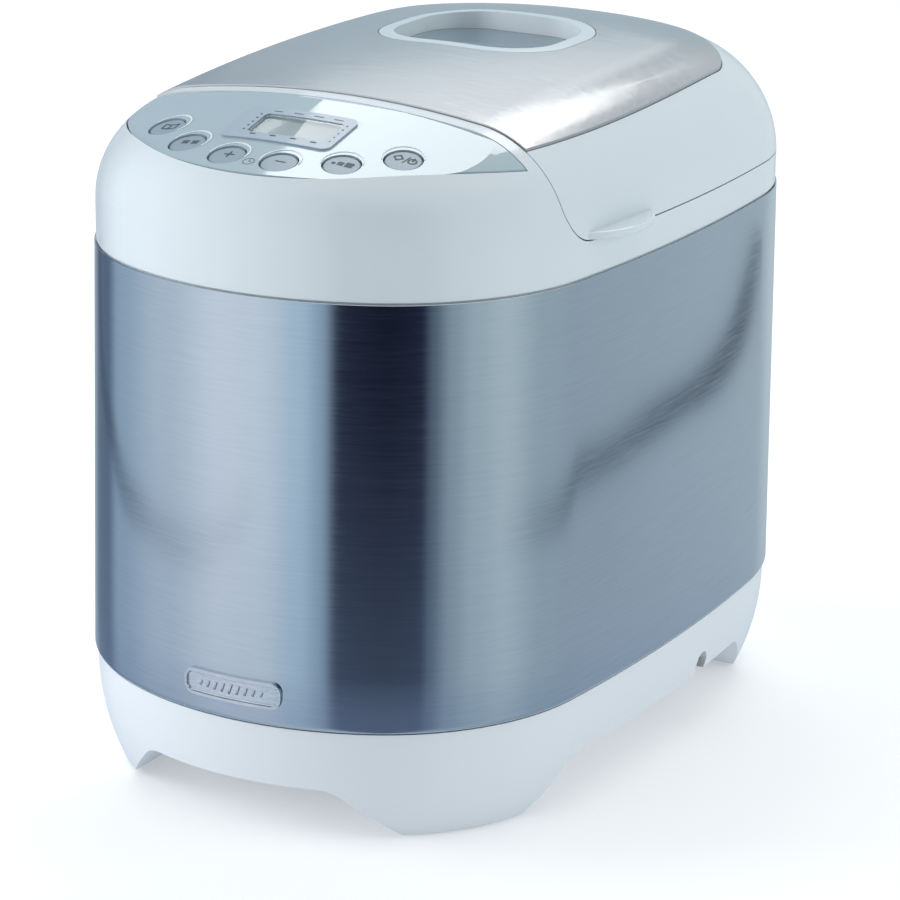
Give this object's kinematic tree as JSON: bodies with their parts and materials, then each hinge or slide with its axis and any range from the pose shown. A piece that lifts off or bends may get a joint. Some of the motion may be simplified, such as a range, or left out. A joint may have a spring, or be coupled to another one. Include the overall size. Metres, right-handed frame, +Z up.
{
  "type": "bread machine",
  "caption": "Countertop bread machine: long oval steel body on four legs, rear-hinged lid with window, sloping control panel with push buttons, lift-out pan with driven kneading paddle.",
  "frame": {"origin": "centre of the plan, on the surface it stands on", "axes": "+Z up, front with the control panel towards -Y, +X to the right seen from the front"},
  "size_m": [0.2464, 0.3672, 0.3052],
  "materials": {
    "white_plastic": "gloss",
    "panel_plastic": "gloss",
    "bezel_plastic": "gloss",
    "button_plastic": "satin",
    "steel": "brushed",
    "badge": "polished",
    "rubber": "matte",
    "dark_plastic": "matte",
    "display": "matte",
    "display_glass": "clear",
    "circuit_board": "satin",
    "glass": "clear",
    "aluminium": "satin",
    "oven_metal": "satin",
    "heater_metal": "satin",
    "ceramic": "matte",
    "zinc": "satin",
    "nonstick": "satin",
    "laminations": "matte",
    "copper": "satin"
  },
  "bodies": {
    "housing": {"badge_plate": "badge", "base_tray": "white_plastic", "board_components": "dark_plastic", "chassis_plate": "zinc", "chassis_screws": "zinc", "control_board": "circuit_board", "control_panel": "panel_plastic", "cord_gland": "dark_plastic", "display_bezel": "bezel_plastic", "display_lens": "display_glass", "display_module": "display", "drive_belt": "rubber", "heat_shield": "zinc", "heater_bushings": "ceramic", "heater_clips": "zinc", "heating_element": "heater_metal", "hinge_bracket": "zinc", "hinge_pin": "zinc", "motor_bolts": "zinc", "motor_bracket_lower": "zinc", "motor_bracket_upper": "zinc", "motor_capacitor": "dark_plastic", "motor_mounts": "rubber", "motor_stator": "laminations", "motor_windings": "copper", "oven_chamber": "oven_metal", "pan_seat": "aluminium", "power_board": "circuit_board", "push_switches": "dark_plastic", "rubber_feet": "rubber", "spindle_bearing": "aluminium", "steel_wrap": "steel", "temperature_sensor": "zinc", "upper_housing": "white_plastic"},
    "lid": {"lid_shell": "white_plastic", "lid_plate": "steel", "window_frame": "white_plastic", "window_pane": "glass", "inner_pane": "glass", "lid_liner": "aluminium", "lid_screws": "zinc"},
    "pan": {"bread_pan": "nonstick", "pan_foot": "aluminium", "pan_bushing": "zinc", "handle_lugs": "zinc"},
    "handle": {"pan_handle": "zinc"},
    "kneader": {"pan_spindle": "zinc", "kneading_paddle": "nonstick"},
    "drive": {"drive_shaft": "zinc", "drive_coupler": "aluminium", "large_pulley": "dark_plastic"},
    "motor": {"motor_rotor": "laminations", "motor_pulley": "zinc"},
    "button_menu_body": {"button_menu": "button_plastic"},
    "button_crust_body": {"button_crust": "button_plastic"},
    "button_plus_body": {"button_plus": "button_plastic"},
    "button_minus_body": {"button_minus": "button_plastic"},
    "button_size_body": {"button_size": "button_plastic"},
    "button_start_body": {"button_start": "button_plastic"}
  },
  "joints": [
    {"name": "lid_hinge", "type": "hinge", "parent": "housing", "child": "lid", "pos_m": [0, 0.1715, 0.2543], "axis": [-1, 0, 0], "range_deg": [0, 78]},
    {"name": "pan_lift", "type": "slide", "parent": "housing", "child": "pan", "axis": [0, 0, 1], "range_m": [0, 0.014]},
    {"name": "handle_swing", "type": "hinge", "parent": "pan", "child": "handle", "pos_m": [0, 0.036, 0.222], "axis": [1, 0, 0], "range_deg": [0, 12]},
    {"name": "kneader_spin", "type": "hinge", "parent": "pan", "child": "kneader", "pos_m": [0, 0.036, 0.1], "axis": [0, 0, 1], "continuous": true},
    {"name": "drive_spin", "type": "hinge", "parent": "housing", "child": "drive", "pos_m": [0, 0.036, 0.06], "axis": [0, 0, 1], "continuous": true},
    {"name": "motor_spin", "type": "hinge", "parent": "housing", "child": "motor", "pos_m": [0, -0.118, 0.08], "axis": [0, 0, 1], "continuous": true},
    {"name": "press_menu", "type": "slide", "parent": "housing", "child": "button_menu_body", "axis": [0.1474, 0.2543, -0.9558], "range_m": [0, 0.001], "stiffness_N_per_m": 300, "springref_m": -0.001},
    {"name": "press_crust", "type": "slide", "parent": "housing", "child": "button_crust_body", "axis": [0.0958, 0.256, -0.9619], "range_m": [0, 0.001], "stiffness_N_per_m": 300, "springref_m": -0.001},
    {"name": "press_plus", "type": "slide", "parent": "housing", "child": "button_plus_body", "axis": [0.0322, 0.257, -0.9659], "range_m": [0, 0.001], "stiffness_N_per_m": 300, "springref_m": -0.001},
    {"name": "press_minus", "type": "slide", "parent": "housing", "child": "button_minus_body", "axis": [-0.0322, 0.257, -0.9659], "range_m": [0, 0.001], "stiffness_N_per_m": 300, "springref_m": -0.001},
    {"name": "press_size", "type": "slide", "parent": "housing", "child": "button_size_body", "axis": [-0.0958, 0.256, -0.9619], "range_m": [0, 0.001], "stiffness_N_per_m": 300, "springref_m": -0.001},
    {"name": "press_start", "type": "slide", "parent": "housing", "child": "button_start_body", "axis": [-0.1474, 0.2543, -0.9558], "range_m": [0, 0.001], "stiffness_N_per_m": 300, "springref_m": -0.001}
  ],
  "couplings": [
    {"joint": "drive_spin", "follows": "motor_spin", "ratio": 0.18129},
    {"joint": "kneader_spin", "follows": "motor_spin", "ratio": 0.18129}
  ]
}
